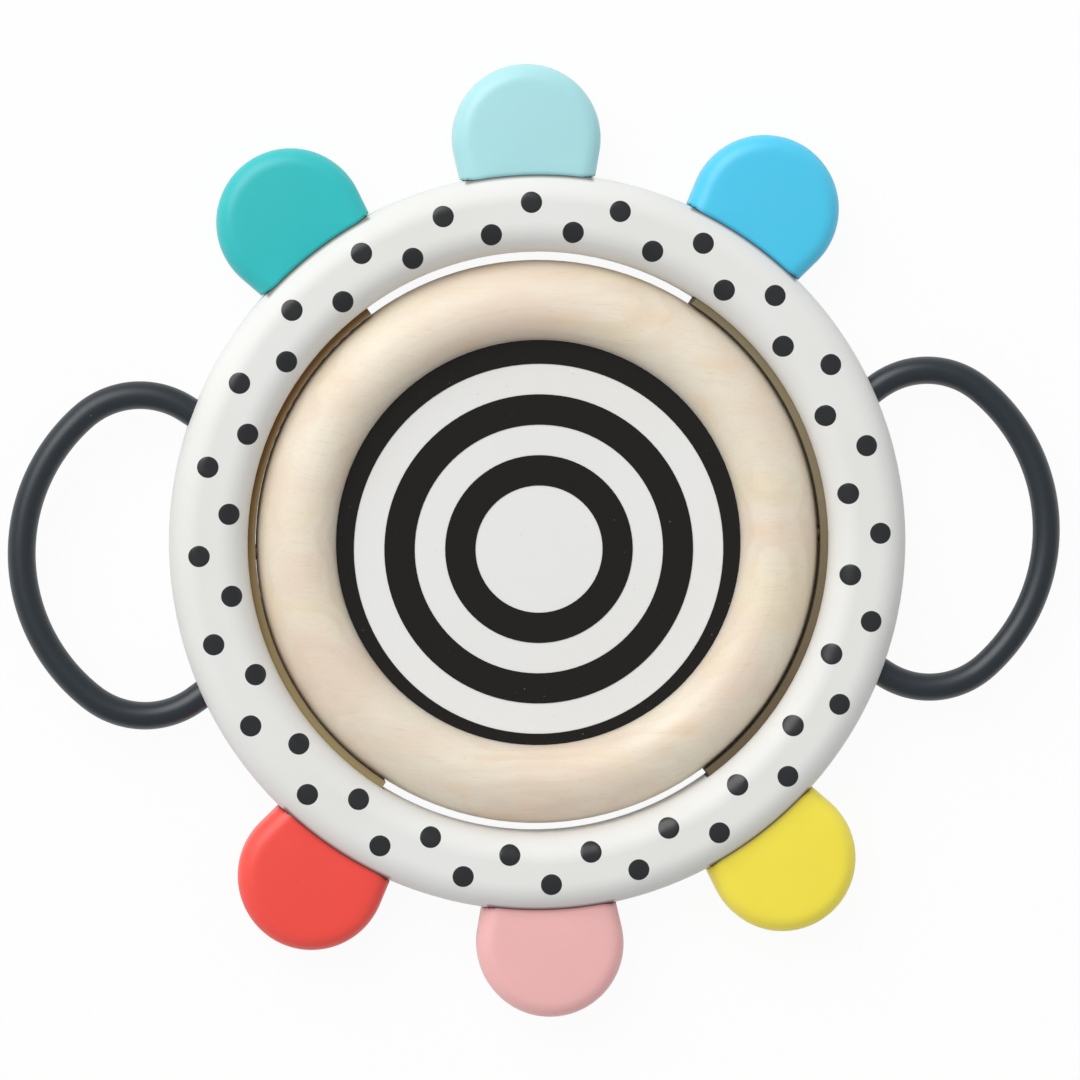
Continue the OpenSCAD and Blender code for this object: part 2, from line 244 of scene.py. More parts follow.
def buildHairlines():  # fine straight rub marks in two directions
    tree, given, leave = openGroup("hairlines", "ShaderNodeTree",
        {"Vector": "Vector", "Length": 14.0, "Gap": 0.9, "Width": 0.02}, {"Mask": "Float"})
    rareScale, rareLimits = 0.12, (0.48, 0.66)  # the marks come in patches
    total = None
    for turn, seed in ((0.6, 3.0), (-0.9, 11.0)):
        turned = addNode(tree, "ShaderNodeMapping",
            {"Vector": given["Vector"], "Rotation": (0.0, 0.0, turn), "Location": (seed, seed, 0.0)})
        turned = turned.outputs[0]
        x, y, z = splitXyz(tree, turned)
        streak = noiseAt(tree, joinXyz(tree, x / given["Length"], y / given["Gap"], z), 1.0, 1.0)
        mark = 1.0 - (streak - 0.5).calc("ABSOLUTE").ramp(0.0, given["Width"])
        mark = mark * noiseAt(tree, turned, rareScale, 1.0).ramp(*rareLimits)
        total = mark if total is None else total.most(mark)
    feed(tree, leave["Mask"], total)
    return tree


mouldedSkin = buildMouldedSkin()
dustSpecks = buildDustSpecks()
hairlines = buildHairlines()
print("effects: moulded skin, dust specks, hairlines")


def useGroup(tree, group, vector, values):
    node = addNode(tree, "ShaderNodeGroup", node_tree=group)
    for key, value in {"Vector": vector, **values}.items():
        feed(tree, node.inputs[key], value)
    return {s.name: Wire(tree, s) for s in node.outputs}


def blendColour(tree, share, first, second):
    node = addNode(tree, "ShaderNodeMix", data_type="RGBA")
    feed(tree, node.inputs[0], share)
    feed(tree, node.inputs[6], first)
    feed(tree, node.inputs[7], second)
    return node.outputs[2]


def newFinish(name, constants):
    finish = bpy.data.materials.new(name)
    finish.use_nodes = True
    tree = finish.node_tree
    shader = tree.nodes["Principled BSDF"]
    for key, value in constants.items():
        shader.inputs[key].default_value = value
    place = addNode(tree, "ShaderNodeTexCoord")
    inMm = addNode(tree, "ShaderNodeMapping",
        {"Vector": place.outputs["Object"], "Scale": (1000.0, 1000.0, 1000.0)})
    return finish, tree, shader, inMm.outputs[0]


def addBump(tree, shader, height, depthMm):
    bump = addNode(tree, "ShaderNodeBump", {"Height": height, "Distance": depthMm * mm, "Strength": 1.0})
    feed(tree, shader.inputs["Normal"], bump.outputs[0])


def paint(red, green, blue):  # a colour as seen on screen, 0 to 255
    shares = (red / 255, green / 255, blue / 255)
    return tuple(s / 12.92 if s <= 0.04045 else ((s + 0.055) / 1.055) ** 2.4 for s in shares) + (1.0,)


def dimmed(colour, share):
    return tuple(c * share for c in colour[:3]) + (1.0,)


# White ring: satin moulded plastic

ring = {"edge": 62.5, "half": 7.5, "midHeight": 7.5, "corner": 4.8, "sectionRadius": 55.9, "flatHalf": 1.8}
ringLook = {
    "white": paint(232, 232, 230), "shade": paint(228, 228, 225), "specular": 0.28,
    "roughness": 0.46, "roughnessSpread": 0.06, "bumpDepth": 0.018,
    "skin": {"Wave": 0.09, "Grit": 2.4, "Grit share": 0.35},
    "specks": {"Spacing": 1.7, "Speck": 0.09, "Share": 0.12}, "speckTone": paint(150, 146, 138),
    "speckShow": 0.18}
# painted shade for the side gaps: brown and olive tones on the ledges stand in for shadow
ledgeShade = {
    "radius": 49.36, "radiusFade": 0.14, "front": 2.62, "back": 5.02, "heightFade": 0.4, "reach": 0.83,
    "left": (paint(150, 136, 94), paint(116, 82, 42)), "right": (paint(106, 93, 72), paint(132, 120, 94)),
    # painted warm light bounced from the wood: tan next to the wood on the left
    "tan": paint(142, 122, 90), "tanFade": (48.0, 48.9),  # next to the wood on the left
    "toneFade": (-34.0, 26.0), "toneWander": 20.0, "wanderScale": 0.08, "rougher": 0.3}
# painted shade on the ring around each tab's foot
tabSeamShade = {
    "turns": (54.0, 90.0), "half": 10.4, "halfFade": 0.8, "height": 4.7, "heightFade": 1.0,
    "fromRadius": 58.0, "shade": paint(138, 129, 123)}


def makeRingPlastic():
    finish, tree, shader, inMm = newFinish("ringPlastic", {"Specular IOR Level": ringLook["specular"]})
    skin = useGroup(tree, mouldedSkin, inMm, ringLook["skin"])
    specks = useGroup(tree, dustSpecks, inMm, ringLook["specks"])
    tone = blendColour(tree, skin["Drift"], ringLook["white"], ringLook["shade"])
    tone = blendColour(tree, specks["Mask"] * ringLook["speckShow"], tone, ringLook["speckTone"])
    x, y, z = splitXyz(tree, inMm)
    up = z - ring["midHeight"]
    radius = (x * x + y * y).calc("SQRT")
    xAway, yAway = x.calc("ABSOLUTE"), y.calc("ABSOLUTE")
    # painted shade: the ledges deep in the side gaps are coloured brown and olive for the shadow and
    # wood-bounced light in the gap
    paintedGapShade = 1.0 - radius.ramp(ledgeShade["radius"], ledgeShade["radius"] + ledgeShade["radiusFade"])
    paintedGapShade = paintedGapShade * (1.0 - up.ramp(ledgeShade["front"], ledgeShade["front"] + ledgeShade["heightFade"]))
    paintedGapShade = paintedGapShade * up.ramp(-ledgeShade["back"] - ledgeShade["heightFade"], -ledgeShade["back"])
    paintedGapShade = paintedGapShade * (1.0 - (yAway / radius).over(ledgeShade["reach"]))
    wander = noiseAt(tree, inMm, ledgeShade["wanderScale"]) * ledgeShade["toneWander"]
    upper = (y + wander - ledgeShade["toneWander"] / 2).ramp(*ledgeShade["toneFade"])
    left = blendColour(tree, upper, *ledgeShade["left"])
    left = blendColour(tree, radius.ramp(*ledgeShade["tanFade"]), ledgeShade["tan"], left)
    right = blendColour(tree, upper, *ledgeShade["right"])
    tone = blendColour(tree, paintedGapShade, tone, blendColour(tree, x.over(0.0), left, right))
    # painted shade: a dark band on the ring where each tab meets it, for the shadow and occlusion in the seam
    seam = None
    for turn in tabSeamShade["turns"]:
        angle = math.radians(turn)
        across = (xAway * math.sin(angle) - yAway * math.cos(angle)).calc("ABSOLUTE")
        near = 1.0 - across.ramp(tabSeamShade["half"], tabSeamShade["half"] + tabSeamShade["halfFade"])
        seam = near if seam is None else seam.most(near)
    above = up.calc("ABSOLUTE").ramp(tabSeamShade["height"], tabSeamShade["height"] + tabSeamShade["heightFade"])
    seam = seam * (1.0 - above)
    tone = blendColour(tree, seam * radius.over(tabSeamShade["fromRadius"]), tone, tabSeamShade["shade"])
    feed(tree, shader.inputs["Base Color"], tone)
    spread = skin["Drift"] * ringLook["roughnessSpread"] + paintedGapShade * ledgeShade["rougher"]
    feed(tree, shader.inputs["Roughness"], spread + ringLook["roughness"])
    addBump(tree, shader, skin["Height"], ringLook["bumpDepth"])
    return finish


ringPlastic = makeRingPlastic()
for shell in ("front_ring_shell", "rear_ring_shell"):
    nodes[shell].data.materials[0] = ringPlastic
print("ring: satin plastic on both shells")


# Printed dots: two staggered rows that follow the ring's round section

dots = {
    "sizes": {
        "count": 24, "dotRadius": 1.84, "outerRow": 57.6, "innerRow": 52.8, "edgeSink": 0.07, "jitter": 0.02,
        "rings": 9, "around": 36, "sectionRadius": ring["sectionRadius"], "flatHalf": ring["flatHalf"],
        "corner": ring["corner"], "halfThickness": ring["half"], "midHeight": ring["midHeight"]},
    "stagger": 7.5, "sinkPower": 7.0,  # the edge sinks late and steeply
    "ink": paint(24, 26, 29), "thinInk": paint(62, 65, 69), "specular": 0.54,
    "thinFrom": 0.86, "thinScale": 4.0, "thinSpread": 0.7, "thinLeast": 0.1,
    "roughness": 0.28, "roughnessSpread": 0.1, "bumpDepth": 0.01,
    "skin": {"Wave": 0.5, "Grit": 7.0, "Grit share": 0.6},
    "specks": {"Spacing": 0.8, "Speck": 0.07, "Share": 0.25}, "speckShow": 0.4,
    "faces": (("frontInkDots", "front_dots", False, 4), ("rearInkDots", "rear_dots", True, 9))}


def makeDotInk():
    finish, tree, shader, inMm = newFinish("dotInk", {"Specular IOR Level": dots["specular"]})
    skin = useGroup(tree, mouldedSkin, inMm, dots["skin"])
    specks = useGroup(tree, dustSpecks, inMm, dots["specks"])
    spread = Wire(tree, addNode(tree, "ShaderNodeAttribute", attribute_name="dotSpread").outputs["Fac"])
    patchy = noiseAt(tree, inMm, dots["thinScale"]) * dots["thinSpread"] + dots["thinLeast"]
    thin = spread.ramp(dots["thinFrom"], 1.0) * patchy  # the ink runs thin at the edge
    worn = (thin + specks["Mask"] * dots["speckShow"]).held()
    feed(tree, shader.inputs["Base Color"], blendColour(tree, worn, dots["ink"], dots["thinInk"]))
    feed(tree, shader.inputs["Roughness"], skin["Drift"] * dots["roughnessSpread"] + dots["roughness"])
    addBump(tree, shader, skin["Height"], dots["bumpDepth"])
    return finish


def buildDotTree():
    tree, given, leave = openGroup("printedDots", "GeometryNodeTree",
        {**treeSizes(dots["sizes"]), "Stagger": 0.0, "Rear": False, "Seed": 0, "Ink": "Material"},
        {"Geometry": "Geometry"})
    rows = addNode(tree, "GeometryNodeJoinGeometry")
    for radius, turn in ((given["Outer row"], 0.0), (given["Inner row"], given["Stagger"])):
        circle = addNode(tree, "GeometryNodeMeshCircle", {"Vertices": given["Count"], "Radius": radius})
        turned = addNode(tree, "GeometryNodeTransform",
            {"Geometry": circle.outputs[0], "Rotation": joinXyz(tree, z=turn)})
        tree.links.new(turned.outputs[0], rows.inputs[0])
    # one dot: a round sheet from its middle to its edge
    sheet = addNode(tree, "GeometryNodeMeshGrid",
        {"Size X": 1.0, "Size Y": 1.0, "Vertices X": given["Around"], "Vertices Y": given["Rings"]})
    x, y, z = positionXyz(tree)
    spread = y + 0.5
    kept = addNode(tree, "GeometryNodeStoreNamedAttribute",
        {"Geometry": sheet.outputs[0], "Name": "dotSpread", "Value": spread},
        data_type="FLOAT", domain="POINT")
    angle = x * (2 * math.pi)
    reach = spread * given["Dot radius"]
    onDot = joinXyz(tree, angle.calc("COSINE") * reach, angle.calc("SINE") * reach, 0.0)
    disc = addNode(tree, "GeometryNodeSetPosition", {"Geometry": kept.outputs[0], "Position": onDot})
    merged = addNode(tree, "GeometryNodeMergeByDistance",
        {"Geometry": disc.outputs[0], "Distance": weld["reach"] * mm})
    shift = addNode(tree, "FunctionNodeRandomValue", data_type="FLOAT_VECTOR")
    feed(tree, shift.inputs["Seed"], given["Seed"])
    feed(tree, shift.inputs[0], (-1.0, -1.0, 0.0))
    feed(tree, shift.inputs[1], (1.0, 1.0, 0.0))
    slide = addNode(tree, "ShaderNodeVectorMath",
        {"Vector": shift.outputs[0], "Scale": given["Jitter"]}, operation="SCALE")
    nudged = addNode(tree, "GeometryNodeSetPosition",
        {"Geometry": rows.outputs[0], "Offset": slide.outputs[0]})
    placed = addNode(tree, "GeometryNodeInstanceOnPoints",
        {"Points": nudged.outputs[0], "Instance": merged.outputs[0]})
    real = addNode(tree, "GeometryNodeRealizeInstances", {"Geometry": placed.outputs[0]})
    # lay the dots on the round section
    x, y, z = positionXyz(tree)
    away = (x * x + y * y).calc("SQRT") - given["Section radius"]
    side = (away.calc("ABSOLUTE") - given["Flat half"]).most(0.0)
    corner = given["Corner"]
    crest = given["Half thickness"] - corner + (corner * corner - side * side).calc("SQRT")
    stored = addNode(tree, "GeometryNodeInputNamedAttribute", {"Name": "dotSpread"}, data_type="FLOAT")
    crest = crest - (Wire(tree, stored.outputs[0]) ** dots["sinkPower"]) * given["Edge sink"]
    way = 1.0 - given["Rear"] * 2.0
    onRing = joinXyz(tree, x, y, given["Mid height"] + crest * way)
    laid = addNode(tree, "GeometryNodeSetPosition", {"Geometry": real.outputs[0], "Position": onRing})
    flipped = addNode(tree, "GeometryNodeFlipFaces", {"Mesh": laid.outputs[0]})
    facing = addNode(tree, "GeometryNodeSwitch", {"Switch": given["Rear"]}, input_type="GEOMETRY")
    feed(tree, facing.inputs["False"], laid.outputs[0])
    feed(tree, facing.inputs["True"], flipped.outputs[0])
    smooth = addNode(tree, "GeometryNodeSetShadeSmooth", {"Geometry": facing.outputs[0]})
    inked = addNode(tree, "GeometryNodeSetMaterial",
        {"Geometry": smooth.outputs[0], "Material": given["Ink"]})
    feed(tree, leave["Geometry"], inked.outputs[0])
    return tree


dotTree = buildDotTree()
dotInk = makeDotInk()
for pieceName, node, rear, seed in dots["faces"]:
    piece = meshFromTree(pieceName, dotTree, {**treeSizes(dots["sizes"]),
        "Stagger": math.radians(dots["stagger"]), "Rear": rear, "Seed": seed, "Ink": dotInk})
    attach(piece, "ring")
    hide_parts(node)
    print("dots:", pieceName, len(piece.data.polygons), "faces")


# Chew tabs: six soft round-ended pads on the ring's edge

tab = {
    "sizes": {
        "seam": 0.03, "standOut": 18.46, "endRadius": 12.55, "thickness": 9.5, "edgeRound": 3.0, "crown": 0.2,
        "mouldLine": 0.05, "footRound": 0.05, "neckInner": 53.0, "neckWidth": 14.0, "neckThickness": 5.0,
        "around": 176, "across": 47, "ringEdge": ring["edge"], "ringCorner": ring["corner"],
        "ringHalf": ring["half"], "midHeight": ring["midHeight"]},
    "lean": 11.5, "sharpFrom": 50,  # degrees
    "look": {"roughness": 0.40, "lift": 0.04, "specular": 0.65, "soft": 0.25}}
tabColours = {
    "tealTab": ("teal_tab", "teal_silicone", 126, paint(26, 192, 195)),
    "aquaTab": ("aqua_tab", "aqua_silicone", 90, paint(172, 225, 230)),
    "blueTab": ("blue_tab", "blue_silicone", 54, paint(68, 202, 239)),
    "yellowTab": ("yellow_tab", "yellow_silicone", -54, paint(249, 230, 68)),
    "pinkTab": ("pink_tab", "pink_silicone", -90, paint(242, 185, 184)),
    "redTab": ("red_tab", "red_silicone", -126, paint(246, 72, 59)),
}
silicone = {
    "softReach": 2.0, "deepShare": 0.95, "deepShow": 0.7, "rimShow": 0.55, "roughnessSpread": 0.08,
    "skin": {"Wave": 0.1, "Grit": 4.0, "Grit share": 0.6}, "bumpDepth": 0.016,
    "specks": {"Spacing": 1.5, "Speck": 0.1, "Share": 0.2}, "speckTone": paint(236, 236, 232),
    "speckShow": 0.25, "speckRougher": 0.1,
    "seamFade": (0.05, 0.9), "seamShow": 0.6, "seamShare": 0.75, "lineFade": (0.08, 0.2), "lineShare": 0.4}


def makeSilicone(name, colour, look, seedAt=0.0, seamed=True):
    finish, tree, shader, inMm = newFinish(name, {
        "Specular IOR Level": look["specular"], "Subsurface Weight": look["soft"],
        "Subsurface Radius": (1.0, 1.0, 1.0), "Subsurface Scale": silicone["softReach"] * mm})
    moved = addNode(tree, "ShaderNodeMapping", {"Vector": inMm, "Location": (seedAt, -seedAt, 0.0)})
    moved = moved.outputs[0]
    skin = useGroup(tree, mouldedSkin, moved, silicone["skin"])
    specks = useGroup(tree, dustSpecks, moved, silicone["specks"])
    rim = Wire(tree, addNode(tree, "ShaderNodeAttribute", attribute_name="rim").outputs["Fac"])
    pale = tuple(c + (1.0 - c) * look["lift"] for c in colour[:3]) + (1.0,)
    deep = dimmed(colour, silicone["deepShare"])
    tone = blendColour(tree, skin["Drift"] * silicone["deepShow"], colour, deep)
    tone = blendColour(tree, rim * silicone["rimShow"], tone, pale)  # painted light: thin edges are paler, as if more light came through them
    tone = blendColour(tree, specks["Mask"] * silicone["speckShow"], tone, silicone["speckTone"])
    if seamed:  # painted shade: deeper in colour towards the ring, and dark where it meets it
        x, y, z = splitXyz(tree, inMm)
        drop = ((z - ring["midHeight"]).calc("ABSOLUTE") - (ring["half"] - ring["corner"])).most(0.0)
        ringOut = (ring["corner"] ** 2 - drop * drop).calc("SQRT") + (ring["edge"] - ring["corner"])
        off = (x * x + y * y).calc("SQRT") - ringOut  # how far a point stands off the ring's side
        seamShadeTone = tuple(c * c * silicone["seamShare"] for c in colour[:3]) + (1.0,)
        tone = blendColour(tree, (1.0 - off.ramp(*silicone["seamFade"])) * silicone["seamShow"], tone, seamShadeTone)
        line = 1.0 - off.ramp(*silicone["lineFade"])
        tone = blendColour(tree, line, tone, dimmed(seamShadeTone, silicone["lineShare"]))
    feed(tree, shader.inputs["Base Color"], tone)
    spread = skin["Drift"] * silicone["roughnessSpread"] + specks["Mask"] * silicone["speckRougher"]
    feed(tree, shader.inputs["Roughness"], spread + look["roughness"])
    addBump(tree, shader, skin["Height"], silicone["bumpDepth"])
    return finish


def buildTabTree():
    tree, given, leave = openGroup("chewTab", "GeometryNodeTree",
        {**treeSizes(tab["sizes"]), "Lean": 0.0, "Angle": 0.0, "Silicone": "Material"},
        {"Geometry": "Geometry"})
    faceShare = 0.22  # of the sheet, for each face
    risePower = 1.4  # brings the rows closer at the sides' middle
    lineRise = 0.07  # how far the mould line spreads, in radians
    straightPart = 6.0  # the straight side takes a sixth of the rows
    footPower = 6.0
    neckLap = 3.0  # the neck ends this many seams outside the ring
    neckPoints = 4
    sheet = addNode(tree, "GeometryNodeMeshGrid",
        {"Size X": 1.0, "Size Y": 1.0, "Vertices X": given["Around"], "Vertices Y": given["Across"]})
    x, y, z = positionXyz(tree)
    around = x * (2 * math.pi)
    turnSine, turnCosine = around.calc("SINE"), around.calc("COSINE")
    up = (y / (0.5 - faceShare)).held(-1.0, 1.0)  # -1 on the lower face, 1 on the upper one
    side = up.calc("SIGN")
    rise = (up.calc("ABSOLUTE") ** risePower) * side * (math.pi / 2)
    riseSine, riseCosine = rise.calc("SINE"), rise.calc("COSINE")
    share = ((0.5 - y.calc("ABSOLUTE")) / faceShare).held()  # from the middle of a face to its rim
    half, edge = given["Thickness"] * 0.5, given["Edge round"]
    middle = given["Ring edge"] + given["Stand out"] - given["End radius"]
    line = given["Mould line"] * (1.0 - rise.calc("ABSOLUTE") / lineRise).most(0.0)
    end = given["End radius"] - edge - given["Mould line"] + edge * riseCosine + line
    past = (around.calc("ABSOLUTE") - given["Lean"] - math.pi / 2).most(0.0)
    flank = end / past.calc("COSINE")
    level = (half - edge) * (up * straightPart).held(-1.0, 1.0) + edge * riseSine  # straight, then round
    drop = (level.calc("ABSOLUTE") - given["Ring half"] + given["Ring corner"]).most(0.0)
    corner = given["Ring corner"]
    ringOut = given["Ring edge"] - corner + (corner * corner - drop * drop).calc("SQRT")
    foot = ringOut + given["Seam"] + given["Foot round"] * (riseSine.calc("ABSOLUTE") ** footPower)
    chord = middle * turnSine
    room = foot * foot - chord * chord
    toFoot = middle * turnCosine * -1.0 - room.most(0.0).calc("SQRT")
    meets = room.over(0.0) * (around.calc("ABSOLUTE").over(math.pi / 2))
    reach = flank.least(toFoot * meets + (1.0 - meets)) * share
    swell = side * given["Crown"] * (1.0 - share * share)
    height = level - side * given["Crown"] * riseSine.calc("ABSOLUTE") + swell
    kept = addNode(tree, "GeometryNodeStoreNamedAttribute",
        {"Geometry": sheet.outputs[0], "Name": "rim", "Value": riseCosine}, data_type="FLOAT", domain="POINT")
    onPad = joinXyz(tree, middle + reach * turnCosine, reach * turnSine, height)
    pad = addNode(tree, "GeometryNodeSetPosition", {"Geometry": kept.outputs[0], "Position": onPad})
    merged = addNode(tree, "GeometryNodeMergeByDistance",
        {"Geometry": pad.outputs[0], "Distance": weld["reach"] * mm})
    neckEnd = given["Ring edge"] + given["Seam"] * neckLap
    neckSize = joinXyz(tree, neckEnd - given["Neck inner"], given["Neck width"], given["Neck thickness"])
    neck = addNode(tree, "GeometryNodeMeshCube",
        {"Size": neckSize, "Vertices X": neckPoints, "Vertices Y": neckPoints, "Vertices Z": neckPoints})
    neckAt = addNode(tree, "GeometryNodeTransform",
        {"Geometry": neck.outputs[0], "Translation": joinXyz(tree, (neckEnd + given["Neck inner"]) * 0.5)})
    both = addNode(tree, "GeometryNodeJoinGeometry")
    tree.links.new(merged.outputs[0], both.inputs[0])
    tree.links.new(neckAt.outputs[0], both.inputs[0])
    placed = addNode(tree, "GeometryNodeTransform", {"Geometry": both.outputs[0],
        "Translation": joinXyz(tree, z=given["Mid height"]), "Rotation": joinXyz(tree, z=given["Angle"])})
    real = addNode(tree, "GeometryNodeRealizeInstances", {"Geometry": placed.outputs[0]})
    dressed = addNode(tree, "GeometryNodeSetMaterial",
        {"Geometry": real.outputs[0], "Material": given["Silicone"]})
    feed(tree, leave["Geometry"], dressed.outputs[0])
    return tree


tabTree = buildTabTree()
for pieceName, (node, slotName, angle, colour) in tabColours.items():
    skinName = slotName.split("_")[0] + "Silicone"
    piece = meshFromTree(pieceName, tabTree, {**treeSizes(tab["sizes"]),
        "Lean": math.radians(tab["lean"]), "Angle": math.radians(angle),
        "Silicone": makeSilicone(skinName, colour, tab["look"], seedAt=angle)})
    closeSkin(piece, tab["sharpFrom"])
    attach(piece, "ring")
    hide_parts(node)
    print("tab:", pieceName, len(piece.data.polygons), "faces")


# Grab loops: a moulded round cord on each side, from bead to bead

loop = {
    "sizes": {
        "cordRadius": 2.35, "mouldLine": 0.05, "beadRadius": 3.2, "leastRadius": 0.05, "spacing": 0.6,
        "sides": 32},
    "wall": 2.0, "standOut": 27.15, "farRadius": 31.0, "cornerRadius": 14.4, "turn": 50.0, "rootStand": 1.2,
    "beadPlay": 0.1, "rootSteps": 12, "cornerSteps": 30, "farSteps": 60, "lineShare": 0.1,
    "bendFrom": 57.6, "bendTo": 63.4, "sharpFrom": 60,
    "colour": paint(13, 27, 37), "look": {"roughness": 0.38, "lift": 0.02, "specular": 0.66, "soft": 0.0},
    "hands": (
        ("leftGrabCord", -1, "left_grab_loop", ("left_loop", "left_loop_roots")),
        ("rightGrabCord", 1, "right_grab_loop", ("right_loop", "right_loop_roots")))}


def arcPoints(middle, radius, first, last, steps):  # steps points from the first angle, without the last
    angles = [first + (last - first) * k / steps for k in range(steps)]
    return [middle + radius * Vector((math.cos(a), math.sin(a))) for a in angles]


def loopRoute(side):
    beadRadius = loop["sizes"]["beadRadius"]
    cornerRadius = loop["cornerRadius"]
    turn = math.radians(loop["turn"])
    farMiddle = Vector((ring["edge"] + loop["standOut"] - loop["sizes"]["cordRadius"] - loop["farRadius"], 0))
    inset = loop["farRadius"] - cornerRadius
    corner = Vector((farMiddle.x + inset * math.cos(turn), inset * math.sin(turn)))
    standR = ring["edge"] + loop["rootStand"]
    between = (corner.length_squared + cornerRadius ** 2 - standR ** 2) / (2 * corner.length * cornerRadius)
    leaves = math.pi + math.atan2(corner.y, corner.x) - math.acos(between)
    exitPoint = corner + cornerRadius * Vector((math.cos(leaves), math.sin(leaves)))
    inward = Vector((-math.sin(leaves), math.cos(leaves)))
    beadAt = ring["edge"] - loop["wall"] - beadRadius - loop["beadPlay"]
    along = exitPoint.dot(inward)
    runIn = -along - math.sqrt(along ** 2 - exitPoint.length_squared + beadAt ** 2) + beadRadius
    steps = loop["rootSteps"]
    half = [exitPoint + inward * runIn * (1 - k / steps) for k in range(steps)]
    half += arcPoints(corner, cornerRadius, leaves, turn, loop["cornerSteps"])
    far = arcPoints(farMiddle, loop["farRadius"], turn, -turn, loop["farSteps"])
    far += [farMiddle + loop["farRadius"] * Vector((math.cos(turn), -math.sin(turn)))]
    whole = half + far + [Vector((p.x, -p.y)) for p in reversed(half)]
    return [Vector((side * p.x, side * p.y, ring["midHeight"])) * mm for p in whole]


def buildLoopTree():
    tree, given, leave = openGroup("grabLoop", "GeometryNodeTree",
        {"Route": "Geometry", **treeSizes(loop["sizes"]), "Silicone": "Material"}, {"Geometry": "Geometry"})
    line = addNode(tree, "GeometryNodeMeshToCurve", {"Mesh": given["Route"]})
    even = addNode(tree, "GeometryNodeResampleCurve",
        {"Curve": line.outputs[0], "Length": given["Spacing"]}, mode="LENGTH")
    upright = addNode(tree, "GeometryNodeSetCurveNormal", {"Curve": even.outputs[0]}, mode="Z_UP")
    whole = Wire(tree, addNode(tree, "GeometryNodeCurveLength", {"Curve": even.outputs[0]}).outputs[0])
    along = Wire(tree, addNode(tree, "GeometryNodeSplineParameter").outputs["Length"])
    cord, bead, mouldLine = given["Cord radius"], given["Bead radius"], given["Mould line"]
    out = along.least(whole - along) - bead  # along the cord from the nearer bead's middle
    ball = (bead * bead - out * out).most(0.0).calc("SQRT")
    thick = ball.most(cord * out.over(0.0)).most(given["Least radius"])
    sized = addNode(tree, "GeometryNodeSetCurveRadius", {"Curve": upright.outputs[0], "Radius": thick / cord})
    circle = addNode(tree, "GeometryNodeCurvePrimitiveCircle",
        {"Resolution": given["Sides"], "Radius": cord - mouldLine})
    x, y, z = positionXyz(tree)
    # a fine ridge where the mould closes
    onLine = 1.0 - (y.calc("ABSOLUTE") / (cord * loop["lineShare"])).held()
    grown = 1.0 + onLine * mouldLine / (cord - mouldLine)
    profile = addNode(tree, "GeometryNodeSetPosition",
        {"Geometry": circle.outputs[0], "Position": joinXyz(tree, x * grown, y * grown, z)})
    body = addNode(tree, "GeometryNodeCurveToMesh",
        {"Curve": sized.outputs[0], "Profile Curve": profile.outputs[0], "Fill Caps": True})
    if "Scale" in body.inputs:
        radius = addNode(tree, "GeometryNodeInputRadius")
        tree.links.new(radius.outputs[0], body.inputs["Scale"])
    real = addNode(tree, "GeometryNodeRealizeInstances", {"Geometry": body.outputs[0]})
    dressed = addNode(tree, "GeometryNodeSetMaterial",
        {"Geometry": real.outputs[0], "Material": given["Silicone"]})
    feed(tree, leave["Geometry"], dressed.outputs[0])
    return tree


loopTree = buildLoopTree()
loopSilicone = makeSilicone("loopSilicone", loop["colour"], loop["look"], seamed=False)
for pieceName, side, body, replaced in loop["hands"]:
    points = loopRoute(side)
    route = bpy.data.meshes.new(pieceName + "Route")
    route.from_pydata(points, [(k, k + 1) for k in range(len(points) - 1)], [])
    piece = meshFromTree(pieceName, loopTree, {**treeSizes(loop["sizes"]), "Silicone": loopSilicone}, route)
    closeSkin(piece, loop["sharpFrom"])
    side * loop["bendFrom"] * mm
    side * loop["bendTo"] * mm
    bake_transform(piece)
    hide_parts(*replaced)
    print("loop:", pieceName, len(piece.data.polygons), "faces")


# Wooden ring: pale maple, its grain along X

wood = {
    "cream": paint(236, 227, 210), "late": paint(212, 187, 156), "fleck": paint(184, 150, 114),
    "patches": (  # rose, straw and blush: colour, share, limits, noise
        (paint(231, 210, 192), 0.62, (0.40, 0.66), {"along": 0.045, "across": 0.08, "detail": 3.0}),
        (paint(234, 221, 189), 0.45, (0.46, 0.70), {"along": 0.05, "across": 0.11, "shift": 40.0}),
        (paint(236, 211, 183), 0.50, (0.56, 0.76),
            {"along": 0.09, "across": 0.16, "shift": 70.0, "detail": 1.0})),
    "fibre": {"along": 0.05, "across": 2.2, "detail": 4.0, "roughness": 0.6},
    "hair": {"along": 0.18, "across": 6.0},
    "figured": {"along": 0.05, "across": 0.06, "shift": -25.0, "detail": 1.0},
    "flecks": {"along": 0.35, "across": 3.4, "detail": 1.0},
    "yearWander": {"along": 0.03, "across": 0.16}, "yearWaves": 2.2, "ringSpacing": 2.3,
    "pith": (17.0, -58.0),
    "lateRise": (0.1, 0.8), "lateFall": (0.82, 1.0), "figuredLimits": (0.38, 0.66),
    "fibreLimits": (0.46, 0.80), "hairLimits": (0.55, 0.85), "fleckLimits": (0.66, 0.76),
    "lateShow": (0.14, 0.03), "fibreShow": 0.22, "hairShow": 0.18, "fleckShow": 0.16, "glueShow": 0.6,
    "lean": (0.10, 0.03, 0.07), "driftScale": 0.04, "drift": (8.0, 6.0, 6.0), "glueFade": (0.03, 0.09),
    "roughness": 0.42, "roughnessSpread": 0.16, "bumpDepth": 0.025, "bumpShares": (0.6, 0.4, 0.8),
    "specular": 0.75, "soft": 0.6, "softRadius": (1.0, 0.9, 0.75), "softReach": 1.4}


def grainNoise(tree, spot, along, across, detail=2.0, roughness=0.5, shift=0.0):  # drawn out along the grain
    x, y, z = spot
    drawnOut = joinXyz(tree, x * along + shift, y * across, z * across)
    return noiseAt(tree, drawnOut, 1.0, detail, roughness)


